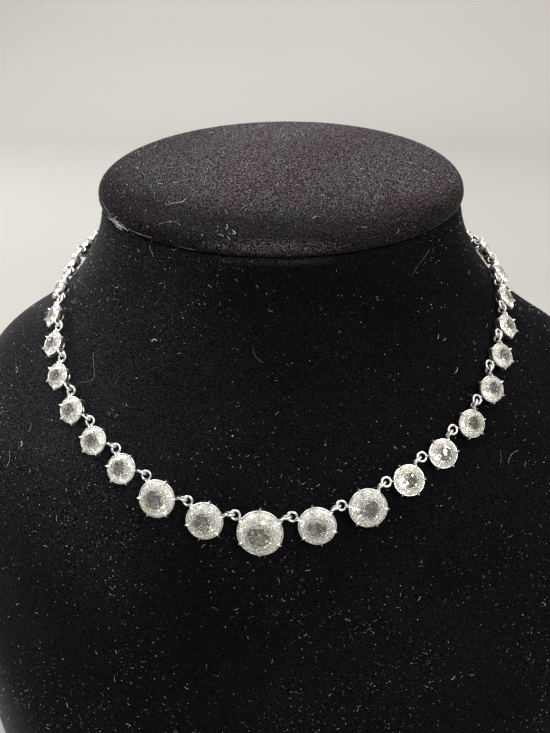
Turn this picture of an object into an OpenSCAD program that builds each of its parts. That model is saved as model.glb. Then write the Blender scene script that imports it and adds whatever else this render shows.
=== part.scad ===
// Riviere necklace: graduated round stones in open silver settings, each hooked to the next
// by a pair of rings, fastened round a plain velvet neck bust.
// Millimetres. The bust stands on Z = 0 and faces -Y. Left and right are as seen from the front.

/* [Neck bust] */
// Width of the neck at its top
neck_w = 105; // [98:1:116]
// Reach of the neck's top in front of the bust's middle plane
neck_front = 42; // [38:1:46]
// Reach of the neck's top behind the middle plane
neck_back = 29.5; // [26:0.5:34]
// How far in front of the middle plane the neck's top is widest
neck_lead = 8; // [0:0.5:10]
// Forward slope of the neck's top, in degrees
neck_slope = 15; // [8:1:18]
// Width across the shoulders
shoulder_w = 236; // [215:1:260]
// Reach of the chest in front of the middle plane
chest_reach = 80; // [74:1:90]
// Reach of the back behind the middle plane
back_reach = 39; // [34:1:46]
// Height from the base to the middle of the neck's top
bust_h = 190; // [178:1:210]
// Rounding of the form's top and bottom edges
form_edge = 1.5; // [0.8:0.1:3]

/* [Neck cap] */
// Thickness of the cap's pad at its edge
cap_t = 6; // [5.5:0.5:9]
// Rounding of the pad's upper edge
cap_upper_r = 3.6; // [2:0.2:4]
// Rounding of the pad's lower edge
cap_lower_r = 1.4; // [0.8:0.2:1.8]
// Rise of the pad's middle over its edge
cap_dome = 3; // [1:0.5:6]
// How far the pad stands out past the neck
cap_over = 0.9; // [0:0.1:1.5]
// Seam between the pad and the neck
cap_seam = 0.3; // [0.2:0.05:0.5]

/* [Stone sizes, over the rim of the setting] */
// Centre stone
centre_d = 12.5; // [11.5:0.1:13.5]
// First and second stones on each side
flank_d = 10.3; // [9.6:0.1:11]
// Third stone on each side
third_d = 8.4; // [8.1:0.1:9]
// Fourth stone on each side
fourth_d = 8; // [7.4:0.1:8.3]
// How much smaller each stone after the fourth is than the one before it
taper = 0.28; // [0.2:0.02:0.36]
// Smallest stones, at the back of the neck
back_d = 6.38; // [6:0.02:6.8]
// Stones on each side of the centre one
pairs = 17; // [16:1:18]

/* [Cut of the stones] */
// Width of the table, as a share of the stone's width
table_share = 0.54; // [0.48:0.01:0.6]
// Height of the crown, as a share of the stone's width
crown_share = 0.14; // [0.11:0.01:0.16]
// Depth of the pavilion, as a share of the stone's width
pavilion_share = 0.3; // [0.26:0.01:0.33]
// Width of the open culet, as a share of the stone's width
culet_share = 0.16; // [0.1:0.01:0.22]
// Thickness of the girdle
girdle_t = 0.3; // [0.2:0.05:0.5]

/* [Settings] */
// Wall of the collet
wall = 0.3; // [0.25:0.05:0.45]
// Gap between the stone and the wall
stone_gap = 0.05; // [0.04:0.01:0.08]
// Space under the stone's culet
culet_clear = 0.5; // [0.3:0.1:0.8]
// Height of the upright band round the stone
band_h = 0.9; // [0.6:0.1:1.2]
// Width of the collet's foot, as a share of the rim's width
foot_share = 0.64; // [0.58:0.02:0.72]
// Width of a claw where it grips the stone
claw_w = 1.2; // [0.9:0.1:1.4]
// How far a claw stands out past the rim
claw_out = 0.7; // [0.4:0.05:0.75]
// How far a claw reaches in over the stone
claw_in = 0.45; // [0.3:0.05:0.6]
// Height of a claw's tip over the rim
claw_tip = 0.5; // [0.3:0.05:0.7]

/* [Rings] */
// Thickness of a ring's wire
ring_wire = 0.7; // [0.6:0.02:0.74]
// Hole of a ring
ring_hole = 1.74; // [1.6:0.02:1.9]
// Distance of a ring's middle from the rim
ring_reach = 1.75; // [1.7:0.05:2]
// Height of the rings' middles over the foot of the settings
ring_z = 2; // [1.9:0.05:2.3]
// Play between two hooked rings
ring_play = 0.12; // [0.1:0.01:0.14]

/* [Clasp] */
// Length of the clasp between the middles of its rings
clasp_l = 19.2; // [16:0.2:20]
// Width of the clasp's box
clasp_w = 4.2; // [3.4:0.2:5]
// Thickness of the clasp's box
clasp_t = 2.4; // [2:0.1:3]

/* [How the necklace lies] */
// Gap between the low edge of the settings' feet and the bust
lie_gap = 0.4; // [0.3:0.05:0.6]
// Height of the line through the rings over the bust at the middle of the front
line_z = 2.5; // [2.4:0.05:2.8]
// How much higher that line is at the sides, where the settings lean outwards
side_rise = 0.8; // [0:0.1:1]
// How far below the neck's top the chain lies at the sides
back_drop = 21.3; // [20:0.1:26]

/* [Hidden] */
$fn = 48;
// Pairs next to the centre that are pieces of their own. The others are joined at the back.
OWN_PAIRS = 9;
SIDES = ["left", "right"];
function side_name(kind, side, k) = str(kind, "_", SIDES[side], "_", k);

// Sections of the bust from the neck's top down to the base.
// Columns: drop as a share of bust_h; half width from the neck's (0) to the shoulders' (1);
// front reach from the neck's (0) to the chest's (1); back reach from the neck's (0) to the
// back's (1); share of the neck's slope and lead; exponent of the outline, where 2 is an ellipse.
SECTIONS = [
    [0.000, 0.000,  0.000, 0.00, 1.00, 2.00],
    [0.042, 0.023, -0.015, 0.05, 0.97, 2.00],
    [0.084, 0.076, -0.018, 0.18, 0.88, 2.00],
    [0.137, 0.173,  0.045, 0.40, 0.70, 2.08],
    [0.190, 0.317,  0.115, 0.65, 0.50, 2.17],
    [0.242, 0.556,  0.190, 0.86, 0.30, 2.17],
    [0.305, 0.722,  0.367, 1.00, 0.12, 2.17],
    [0.379, 0.945,  0.585, 1.00, 0.03, 2.17],
    [0.474, 1.000,  0.700, 1.00, 0.00, 2.17],
    [0.605, 1.000,  0.800, 1.00, 0.00, 2.20],
    [0.790, 0.940,  0.907, 1.00, 0.00, 2.30],
    [1.000, 0.845,  1.000, 1.00, 0.00, 2.30]];

// The chain's route, chosen by hand. Columns: angle round the neck from the middle of the
// front, in degrees; drop from the chain's place at the sides (0) to its lowest point (1).
ROUTE = [
    [0, 1], [22, 0.741], [45, 0.372], [68, 0.18], [86, 0.059], [105, 0.015], [140, 0.04],
    [180, 0.05]];
// Share of the line's rise at the sides. Columns: angle, share.
RISE = [[5, 0], [32, 1], [60, 1], [83, 0.15]];
// Angle between two points that measure the route
ROUTE_STEP = 3;
// Rounds of halving that find the drop of the chain's front
HALVINGS = 14;

// Points round a section of the bust, and the drop between sections near the chain and below it
ROUND_N = 64;
FINE_STEP = 4;
FINE_TO = 88;
COARSE_STEP = 12.5;
// Share of the pad's top, from its rounded edge to its middle, at each ring of the dome
DOME_RINGS = [0.12, 0.3, 0.5, 0.7, 0.88];
// Small step that measures the slope of the bust's surface
NUDGE = 0.01;
// Rounds that settle a level on the sloping sections, and the tilt of a setting
LEVEL_ROUNDS = 5;
TILT_ROUNDS = 5;

// A setting has six claws. The first one points to the neck and its neighbours carry the rings.
CLAWS = 6;
RING_ANGLE = 30;
// The upright ring stands a little off the chain's line, towards its claw
RING_TURN = 12;
RING_R = (ring_hole + ring_wire) / 2;
// Distance between the middles of two hooked rings, with the wires ring_play apart
HOLE_ROOM = (ring_hole - ring_wire) / 2 - ring_play;
LINK = RING_R * cos(RING_TURN) + sqrt(max(0, pow(HOLE_ROOM, 2) - pow(RING_R * sin(RING_TURN), 2)));

// Facets of a stone: eight mains, with sixteen girdle corners
CUT_N = 8;
// Distance of the crown's star points and of the pavilion's half points from the middle,
// as shares of the stone's radius
STAR_SHARE = 0.8;
HALF_SHARE = 0.5;
FLAT = 360 / CUT_N;

// Slope through one point of a curve from the slopes on its two sides
function meet(a, b) = a * b <= 0 ? 0 : 2 * a * b / (a + b);
function slope(x, t, i) = (t[i + 1] - t[i]) / (x[i + 1] - x[i]);
function slopes(x, t, n) = [for (i = [0 : n])
    i == 0 ? slope(x, t, 0) : i == n ? slope(x, t, n - 1) :
    let (a = slope(x, t, i - 1), b = slope(x, t, i))
    [for (c = [0 : len(a) - 1]) meet(a[c], b[c])]];
function stretch(x, u, i = 0) = i >= len(x) - 2 || u < x[i + 1] ? i : stretch(x, u, i + 1);
// Value at u of the smooth curve through rows t at places x, with slopes m
function curve(x, t, m, u) =
    let (i = stretch(x, u), h = x[i + 1] - x[i], w = (u - x[i]) / h, w2 = w * w, w3 = w2 * w)
    (2 * w3 - 3 * w2 + 1) * t[i] + (w3 - 2 * w2 + w) * h * m[i]
    + (3 * w2 - 2 * w3) * t[i + 1] + (w3 - w2) * h * m[i + 1];

// The bust's surface
LEVELS = [for (s = SECTIONS) s[0] * bust_h];
PROFILE = [for (s = SECTIONS) [
    neck_w / 2 + s[1] * (shoulder_w - neck_w) / 2,
    neck_front + s[2] * (chest_reach - neck_front),
    neck_back + s[3] * (back_reach - neck_back),
    s[4], s[5]]];
PROFILE_SLOPES = slopes(LEVELS, PROFILE, len(SECTIONS) - 1);
function section(drop) = curve(LEVELS, PROFILE, PROFILE_SLOPES, drop);
function bent(v, e) = sign(v) * pow(abs(v), e);
// Point of the surface at a drop below the neck's top and an angle from the front towards +X
function bust_point(drop, angle, grow = 0) =
    let (s = section(drop), e = 2 / s[4], c = cos(angle), lead = neck_lead * s[3],
        x = (s[0] + grow) * bent(sin(angle), e),
        y = -lead - ((c > 0 ? s[1] - lead : s[2] + lead) + grow) * bent(c, e))
    [x, y, bust_h - drop + y * tan(neck_slope) * s[3]];
function unit(v) = v / norm(v);
function bust_normal(drop, angle) =
    let (p = bust_point(drop, angle))
    unit(cross(bust_point(drop + NUDGE, angle) - p, bust_point(drop, angle + NUDGE) - p));
// Drop of the section that a point in space lies on
function level(p, drop, rounds) = rounds == 0 ? drop :
    level(p, bust_h - p.z + p.y * tan(neck_slope) * section(drop)[3], rounds - 1);
// Height of a point over the surface
function height(p) =
    let (drop = level(p, bust_h - p.z, LEVEL_ROUNDS), s = section(drop), lead = neck_lead * s[3],
        y = p.y + lead, u = abs(p.x / s[0]), v = abs(y / (y < 0 ? s[1] - lead : s[2] + lead)),
        k = pow(pow(u, s[4]) + pow(v, s[4]), 1 / s[4]),
        angle = atan2(sign(p.x) * pow(u / k, s[4] / 2), -sign(y) * pow(v / k, s[4] / 2)))
    (p - bust_point(drop, angle)) * bust_normal(drop, angle);

// The chain's sizes. Stones count from the centre one, 0, to the right; left ones are negative.
function rim_d(k) = let (n = abs(k))
    n == 0 ? centre_d : n < 3 ? flank_d : n == 3 ? third_d : max(back_d, fourth_d - taper * (n - 4));
function reach(k) = rim_d(k) / 2 + ring_reach;
function chord(k) = 2 * reach(k) * cos(RING_ANGLE);
function arc_end(k) = k == 0 ? chord(0) / 2 : arc_end(k - 1) + LINK + chord(k);
HALF_CHAIN = arc_end(pairs) + LINK + clasp_l / 2;

// The route, as the line of the rings' middles over the bust
ROUTE_ANGLES = [for (r = ROUTE) r[0]];
ROUTE_DROPS = [for (r = ROUTE) [r[1]]];
ROUTE_SLOPES = [for (i = [0 : len(ROUTE) - 1]) i == 0 || i == len(ROUTE) - 1 ? [0] :
    [meet(slope(ROUTE_ANGLES, ROUTE_DROPS, i - 1)[0], slope(ROUTE_ANGLES, ROUTE_DROPS, i)[0])]];
function route_drop(angle, front) =
    back_drop + (front - back_drop) * curve(ROUTE_ANGLES, ROUTE_DROPS, ROUTE_SLOPES, abs(angle))[0];
function line_height(angle) = line_z + side_rise * lookup(abs(angle), RISE);
function line_point(angle, front) = let (drop = route_drop(angle, front))
    bust_point(drop, angle) + line_height(angle) * bust_normal(drop, angle);
function route_points(front) = [for (a = [0 : ROUTE_STEP : 180]) line_point(a, front)];
function sum(v, i = 0, total = 0) = i == len(v) ? total : sum(v, i + 1, total + v[i]);
function steps(p) = [for (i = [1 : len(p) - 1]) norm(p[i] - p[i - 1])];
// The front hangs as low as the chain's length lets it
function front_drop(low, high, rounds) = let (mid = (low + high) / 2)
    rounds == 0 ? mid :
    sum(steps(route_points(mid))) < HALF_CHAIN ? front_drop(mid, high, rounds - 1) :
    front_drop(low, mid, rounds - 1);
FRONT_DROP = front_drop(back_drop, bust_h / 2, HALVINGS);
ROUTE_STEPS = steps(route_points(FRONT_DROP));
ROUTE_ARC = [for (i = 0, arc = 0; i <= len(ROUTE_STEPS);
    arc = arc + (i < len(ROUTE_STEPS) ? ROUTE_STEPS[i] : 0), i = i + 1) [arc, i * ROUTE_STEP]];
function angle_at(arc) = sign(arc) * lookup(abs(arc), ROUTE_ARC);

// Where a piece of the chain lies: along the chain, towards the neck, away from the bust, foot.
// It leans outwards about the line through its rings until the low edge of its foot is lie_gap
// over the bust.
function seated(mid, t, i, n, out, foot_r, tilt, rounds) =
    let (turned_i = i * cos(tilt) + n * sin(tilt), turned_n = n * cos(tilt) - i * sin(tilt),
        foot = mid - turned_i * out - turned_n * ring_z, rise = height(foot - turned_i * foot_r) - lie_gap)
    rounds == 0 ? [t, turned_i, turned_n, foot] :
    seated(mid, t, i, n, out, foot_r, tilt + rise / (out + foot_r) * 180 / PI, rounds - 1);
function lying(from, to, mid_angle, out, foot_r) =
    let (p = line_point(from, FRONT_DROP), q = line_point(to, FRONT_DROP), t = unit(q - p),
        up = bust_normal(route_drop(mid_angle, FRONT_DROP), mid_angle), n = unit(up - (up * t) * t))
    seated((p + q) / 2, t, cross(n, t), n, out, foot_r, 0, out > 0 ? TILT_ROUNDS : 0);
function seat(k) = let (end = arc_end(abs(k)), start = end - chord(k),
        from = angle_at(k < 0 ? -end : start), to = angle_at(k < 0 ? -start : end))
    lying(from, to, (from + to) / 2, reach(k) * sin(RING_ANGLE), rim_d(k) / 2 * foot_share);
module lay(f)
    multmatrix([for (r = [0 : 2]) [f[0][r], f[1][r], f[2][r], f[3][r]]]) children();

// Heights of one stone over the foot of its setting
function stone_r(d) = d / 2 - wall - stone_gap;
function girdle_low(d) = culet_clear + 2 * stone_r(d) * pavilion_share;
function girdle_high(d) = girdle_low(d) + girdle_t;
function rim_z(d) = girdle_high(d) + stone_gap;

// Solid through rings of the same number of points, closed by its first and last rings
module loft(rings) {
    n = len(rings[0]);
    last = len(rings) - 1;
    polyhedron(
        points = [for (ring = rings) each ring],
        faces = concat(
            [[for (i = [n - 1 : -1 : 0]) i]],
            [for (j = [0 : last - 1], i = [0 : n - 1]) let (a = j * n, b = a + n, k = (i + 1) % n)
                each [[a + i, a + k, b + k], [a + i, b + k, b + i]]],
            [[for (i = [0 : n - 1]) last * n + i]]));
}

function ring_angles() = [for (i = [0 : ROUND_N - 1]) i * 360 / ROUND_N];
function bust_ring(drop, grow = 0) = [for (a = ring_angles()) bust_point(drop, a, grow)];
module bust_form() {
    fine_last = floor(FINE_TO / FINE_STEP) * FINE_STEP;
    coarse_n = ceil((bust_h - form_edge - fine_last) / COARSE_STEP);
    drops = concat(
        [for (d = [FINE_STEP : FINE_STEP : fine_last]) d],
        [for (i = [1 : coarse_n]) fine_last + (bust_h - form_edge - fine_last) * i / coarse_n]);
    rounding = [for (a = [0, 45]) [form_edge * (1 - sin(a)), form_edge * (1 - cos(a))]];
    color("#141216") loft(concat(
        [for (r = rounding) bust_ring(r[1], -r[0])],
        [bust_ring(form_edge)],
        [for (d = drops) bust_ring(d)],
        [for (i = [1, 0]) bust_ring(bust_h - rounding[i][1], -rounding[i][0])]));
}

// Outline of the pad at a distance in from its edge and a height over the neck's top
CAP_UP = [0, -sin(neck_slope), cos(neck_slope)];
function cap_ring(inset, z) = [for (a = ring_angles()) bust_point(0, a, cap_over - inset) + z * CAP_UP];
module neck_cap() {
    lower = [for (a = [-90 : 30 : 0])
        cap_ring(cap_lower_r * (1 - cos(a)), cap_seam + cap_lower_r * (1 + sin(a)))];
    upper = [for (a = [0 : 25 : 75])
        cap_ring(cap_upper_r * (1 - cos(a)), cap_seam + cap_t - cap_upper_r * (1 - sin(a)))];
    edge = upper[len(upper) - 1];
    middle = sum(edge, 0, [0, 0, 0]) / len(edge);
    dome = [for (q = DOME_RINGS)
        [for (p = edge) p + q * (middle - p) + cap_dome * q * (2 - q) * CAP_UP]];
    color("#17151a") loft([for (ring = concat(lower, upper, dome))
        [for (i = [ROUND_N - 1 : -1 : 0]) ring[i]]]);
}

// Ring of wire on its claw. A flat one lies level with the setting, the other stands on edge.
module wire_ring(d, turn, on_edge) {
    r = d / 2 + ring_reach;
    wall_r = d / 2 * (foot_share + (1 - foot_share) * min(1, ring_z / (rim_z(d) - band_h))) - wall / 2;
    rotate(turn) translate([0, 0, ring_z]) {
        translate([r, 0, 0]) rotate(on_edge ? RING_TURN - RING_ANGLE : 0) rotate([on_edge ? 90 : 0, 0, 0])
            rotate_extrude() translate([RING_R, 0]) circle(d = ring_wire);
        translate([wall_r, 0, 0]) rotate([0, 90, 0])
            cylinder(d1 = claw_w, d2 = ring_wire, h = r - RING_R - wall_r);
    }
}

// One claw: a ridge that runs up the outside of the collet, its sharp edge outwards
module claw(d) {
    foot_r = d / 2 * foot_share;
    lean = atan((d / 2 - foot_r) / rim_z(d));
    top = rim_z(d) + claw_tip;
    translate([foot_r, 0, 0]) multmatrix([[1, 0, tan(lean), 0], [0, 1, 0, 0], [0, 0, 1, 0]])
        linear_extrude(height = top)
            polygon([[-wall - claw_in, -claw_w / 2], [claw_out, 0], [-wall - claw_in, claw_w / 2]]);
}

// Silver setting: a tapered open collet with a band, six claws and two rings
module setting(d) {
    r = d / 2;
    foot_r = r * foot_share;
    top = rim_z(d);
    inside = stone_r(d) + stone_gap;
    crown = 2 * stone_r(d) * crown_share;
    run = stone_r(d) * (1 - table_share);
    color("#b9b7b2") difference() {
        union() {
            cylinder(r1 = foot_r, r2 = r, h = top - band_h);
            translate([0, 0, top - band_h]) cylinder(r = r, h = band_h);
            for (i = [0 : CLAWS - 1]) rotate(90 + i * 360 / CLAWS) claw(d);
            wire_ring(d, 180 - RING_ANGLE, false);
            wire_ring(d, RING_ANGLE, true);
        }
        rotate_extrude() polygon([
            [0, -1], [foot_r - wall, -1], [foot_r - wall, 0], [inside, girdle_low(d) - girdle_t],
            [inside, top], [inside - run, top + crown], [inside - run, top + crown + claw_tip],
            [0, top + crown + claw_tip]]);
    }
}

// Cut stone: table, stars, kites and girdle facets over mains, half facets and an open culet
module stone(d) {
    r = stone_r(d);
    table_r = r * table_share / cos(FLAT / 2);
    z_high = girdle_high(d);
    z_low = girdle_low(d);
    z_table = z_high + 2 * r * crown_share;
    z_star = z_high + (r - r * STAR_SHARE * cos(FLAT / 2)) / (r - table_r) * (z_table - z_high);
    culet_r = r * culet_share;
    culet_flat = culet_r * cos(FLAT / 2);
    fall = (z_low - culet_clear) / (r - culet_flat);
    z_half = z_low - (r - r * HALF_SHARE * cos(FLAT / 2)) * fall;
    n = CUT_N;
    function ring_at(radius, z, count, turn) = [for (i = [0 : count - 1])
        let (a = turn + i * 360 / count) [radius * cos(a), radius * sin(a), z]];
    table = 0;
    star = n;
    high = 2 * n;
    low = 4 * n;
    half = 6 * n;
    culet = 7 * n;
    points = concat(
        ring_at(table_r, z_table, n, 0), ring_at(r * STAR_SHARE, z_star, n, FLAT / 2),
        ring_at(r, z_high, 2 * n, 0), ring_at(r, z_low, 2 * n, 0),
        ring_at(r * HALF_SHARE, z_half, n, FLAT / 2), ring_at(culet_r, culet_clear, n, FLAT / 2));
    color("#dfe6e4", 0.6) polyhedron(points = points, faces = concat(
        [[for (i = [n - 1 : -1 : 0]) table + i]],
        [for (i = [0 : n - 1])
            let (next = (i + 1) % n, back = (i + n - 1) % n, g = 2 * i, h = (2 * i + 2) % (2 * n))
            each [
                [table + i, table + next, star + i],
                [table + i, star + i, high + g, star + back],
                [star + i, high + g + 1, high + g],
                [star + i, high + h, high + g + 1],
                [high + g, high + g + 1, low + g + 1, low + g],
                [high + g + 1, high + h, low + h, low + g + 1],
                [low + g, low + g + 1, half + i],
                [low + g + 1, low + h, half + i],
                [low + g, half + i, culet + i, culet + back, half + back]]],
        [[for (i = [0 : n - 1]) culet + i]]));
}

// Plain box clasp with a ring at each end
module clasp() {
    half = clasp_l / 2;
    box = half - RING_R - ring_wire;
    color("#b9b7b2") lay(clasp_seat()) translate([0, 0, ring_z]) {
        intersection() {
            cube([2 * box, clasp_w, clasp_t], center = true);
            rotate([0, 90, 0]) cylinder(d = clasp_w, h = 2 * box, center = true);
        }
        for (side = [-1, 1]) translate([side * half, 0, 0]) {
            rotate(side > 0 ? RING_TURN : 0) rotate([side > 0 ? 90 : 0, 0, 0])
                rotate_extrude() translate([RING_R, 0]) circle(d = ring_wire);
            translate([-side * RING_R, 0, 0]) rotate([0, -side * 90, 0])
                cylinder(d = ring_wire, h = half - RING_R - box + wall);
        }
    }
}
function clasp_seat() = let (from = angle_at(HALF_CHAIN - clasp_l / 2)) lying(from, 360 - from, 180, 0, 0);

module setting_at(k) lay(seat(k)) setting(rim_d(k));
module stone_at(k) lay(seat(k)) stone(rim_d(k));
module back_settings() for (k = [OWN_PAIRS + 1 : pairs], side = [-1, 1]) setting_at(side * k);
module back_stones() for (k = [OWN_PAIRS + 1 : pairs], side = [-1, 1]) stone_at(side * k);

bust_form();
neck_cap();
setting_at(0);  // setting_centre
stone_at(0);  // stone_centre
for (side = [0, 1], k = [1 : OWN_PAIRS]) {
    setting_at((2 * side - 1) * k);
    stone_at((2 * side - 1) * k);
}
back_settings();
back_stones();
clasp();
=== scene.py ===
"""Riviere necklace of round cut stones, lying fastened round a velvet neck bust.

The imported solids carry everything. This script gives them their looks: silver settings with
softened claws and soldered rings, clear cut stones, black velvet with its lint, and a plain
studio. Lengths are in metres, and MM turns millimetres into them.
"""

import logging
import math
from collections.abc import Iterable, Sequence
from dataclasses import dataclass
from enum import Enum

import bmesh
import bpy
import numpy as np
from mathutils import Matrix, Vector


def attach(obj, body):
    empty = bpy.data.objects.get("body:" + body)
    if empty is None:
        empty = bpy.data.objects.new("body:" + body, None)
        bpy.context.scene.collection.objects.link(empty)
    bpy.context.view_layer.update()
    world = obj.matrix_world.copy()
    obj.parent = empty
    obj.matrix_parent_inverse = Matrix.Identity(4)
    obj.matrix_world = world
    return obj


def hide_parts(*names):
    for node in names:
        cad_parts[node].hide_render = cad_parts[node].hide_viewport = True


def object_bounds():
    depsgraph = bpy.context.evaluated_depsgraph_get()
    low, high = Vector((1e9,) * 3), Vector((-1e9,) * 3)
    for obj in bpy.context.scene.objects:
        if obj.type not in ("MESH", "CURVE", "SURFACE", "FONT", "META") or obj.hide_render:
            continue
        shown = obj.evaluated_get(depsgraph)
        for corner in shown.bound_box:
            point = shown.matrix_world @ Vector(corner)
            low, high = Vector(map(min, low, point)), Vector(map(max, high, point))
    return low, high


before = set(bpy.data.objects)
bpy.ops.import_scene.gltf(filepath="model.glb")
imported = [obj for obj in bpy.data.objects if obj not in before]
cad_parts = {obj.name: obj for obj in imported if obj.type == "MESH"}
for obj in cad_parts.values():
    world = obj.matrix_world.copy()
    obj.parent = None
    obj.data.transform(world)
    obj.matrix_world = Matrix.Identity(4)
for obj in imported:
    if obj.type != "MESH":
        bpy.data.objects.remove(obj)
CAD_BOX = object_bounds()

log = logging.getLogger("riviere")
MM = 0.001
BODY = "root"
IMAGE_W, IMAGE_H = 550, 733
MERGE_REACH = 0.001 * MM
FLAT_DEPTH = 0.02 * MM

Colour = tuple[float, float, float]
Socket = bpy.types.NodeSocket
Number = float | Socket
Material = bpy.types.Material
Mesh = bpy.types.Mesh
Value = float | int | bool | str | Sequence[float] | Socket | Material


class Slot(Enum):
    """The record's material slots."""

    VELVET = "velvet"
    SILVER = "silver"
    CRYSTAL = "crystal"


class Side(Enum):
    """Sides of the chain, as seen from the front."""

    LEFT = "left"
    RIGHT = "right"


def placed(name: str, data: bpy.types.ID) -> bpy.types.Object:
    """Puts a new object into the scene.

    Args:
        name: The object's name.
        data: Its mesh, light or camera.

    Returns:
        The object.
    """
    thing = bpy.data.objects.new(name, data)
    bpy.context.scene.collection.objects.link(thing)
    return thing


class Nodes:
    """Adds nodes to a shader or Geometry Nodes tree and joins them as it goes."""

    def __init__(self, tree: bpy.types.NodeTree) -> None:
        """Keeps the tree that the nodes go into."""
        self.tree = tree

    def join(self, value: Value, socket: Socket) -> None:
        """Links a socket, or sets a plain value.

        Args:
            value: An output socket, or the input's own value.
            socket: The input to fill.
        """
        if isinstance(value, Socket):
            self.tree.links.new(value, socket)
        else:
            socket.default_value = value

    def add(self, kind: str, inputs: dict[str | int, Value] | None = None,
            output: str | int = 0, **settings: object) -> Socket:
        """Adds one node.

        Args:
            kind: The node's type.
            inputs: Values or sockets, by the input's name or number.
            output: Name or number of the output that is wanted.
            settings: The node's own settings.

        Returns:
            The wanted output.
        """
        node = self.tree.nodes.new(kind)
        for name, value in settings.items():
            setattr(node, name, value)
        for key, value in (inputs or {}).items():
            self.join(value, node.inputs[key])
        return node.outputs[output]

    def math(self, operation: str, *values: Number) -> Socket:
        """Returns the result of one Math node."""
        return self.add("ShaderNodeMath", dict(enumerate(values)), operation=operation)

    def more(self, value: Number, by: Number) -> Socket:
        """Returns a number made larger."""
        return self.math("ADD", value, by)

    def less(self, value: Number, by: Number) -> Socket:
        """Returns a number made smaller."""
        return self.math("SUBTRACT", value, by)

    def times(self, value: Number, by: Number) -> Socket:
        """Returns the product of two numbers."""
        return self.math("MULTIPLY", value, by)

    def vectors(self, operation: str, *values: Value) -> Socket:
        """Returns the vector that one Vector Math node gives."""
        return self.add("ShaderNodeVectorMath", dict(enumerate(values)), operation=operation)

    def measure(self, operation: str, *values: Value) -> Socket:
        """Returns the number that one Vector Math node gives."""
        return self.add("ShaderNodeVectorMath", dict(enumerate(values)), "Value", operation=operation)

    def vector(self, x: Number = 0.0, y: Number = 0.0, z: Number = 0.0) -> Socket:
        """Returns a vector made of three numbers."""
        return self.add("ShaderNodeCombineXYZ", {0: x, 1: y, 2: z})

    def spread(self, value: Socket, low: float, high: float,
               to_low: float = 0.0, to_high: float = 1.0) -> Socket:
        """Maps low..high to to_low..to_high, and clamps it.

        Args:
            value: The number to map.
            low: Start of its range.
            high: End of its range.
            to_low: Result at the start.
            to_high: Result at the end.

        Returns:
            The mapped number.
        """
        return self.add("ShaderNodeMapRange",
                        {"Value": value, "From Min": low, "From Max": high,
                         "To Min": to_low, "To Max": to_high})


class Surface(Nodes):
    """Shader tree of one finish, on its Principled shader."""

    def __init__(self, name: str, **constants: Value) -> None:
        """Makes the material.

        Args:
            name: The material's name.
            constants: Values of the shader's own sockets, with _ for a space.
        """
        self.material = bpy.data.materials.new(name)
        self.material.use_nodes = True
        super().__init__(self.material.node_tree)
        self.shader = next(n for n in self.tree.nodes if n.type == "BSDF_PRINCIPLED")
        for key, value in constants.items():
            self.set(key.replace("_", " "), value)

    def set(self, name: str, value: Value) -> None:
        """Sets one socket of the shader."""
        self.join(value, self.shader.inputs[name])

    def place(self) -> Socket:
        """Returns the place on the piece, in metres."""
        return self.add("ShaderNodeTexCoord", output="Object")

    def attribute(self, name: str) -> Socket:
        """Returns a number that is stored on the mesh."""
        return self.add("ShaderNodeAttribute", output="Fac", attribute_name=name)

    def noise(self, grain: float, detail: float = 2.0, stretch: Sequence[float] = (1, 1, 1)) -> Socket:
        """Adds a noise.

        Args:
            grain: Size of one grain, in metres.
            detail: Octaves of the noise.
            stretch: How much closer the grains stand along each axis.

        Returns:
            A number from 0 to 1.
        """
        vector = self.add("ShaderNodeMapping", {"Vector": self.place(), "Scale": stretch})
        return self.add("ShaderNodeTexNoise", {"Vector": vector, "Scale": 1 / grain, "Detail": detail})

    def mix(self, factor: Number, a: Colour | Socket, b: Colour | Socket) -> Socket:
        """Mixes two colours.

        Args:
            factor: Share of the second colour.
            a: First colour.
            b: Second colour.

        Returns:
            The mixed colour.
        """
        ends = [(*c, 1.0) if isinstance(c, tuple) else c for c in (a, b)]
        return self.add("ShaderNodeMix", {"Factor": factor, 6: ends[0], 7: ends[1]}, 2, data_type="RGBA")

    def bump(self, height: Socket, strength: float, depth: float) -> Socket:
        """Turns a height into a normal.

        Args:
            height: Height, from 0 to 1.
            strength: Strength of the relief.
            depth: Height that 1 stands for, in metres.

        Returns:
            The normal.
        """
        return self.add("ShaderNodeBump", {"Height": height, "Strength": strength, "Distance": depth})


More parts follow.
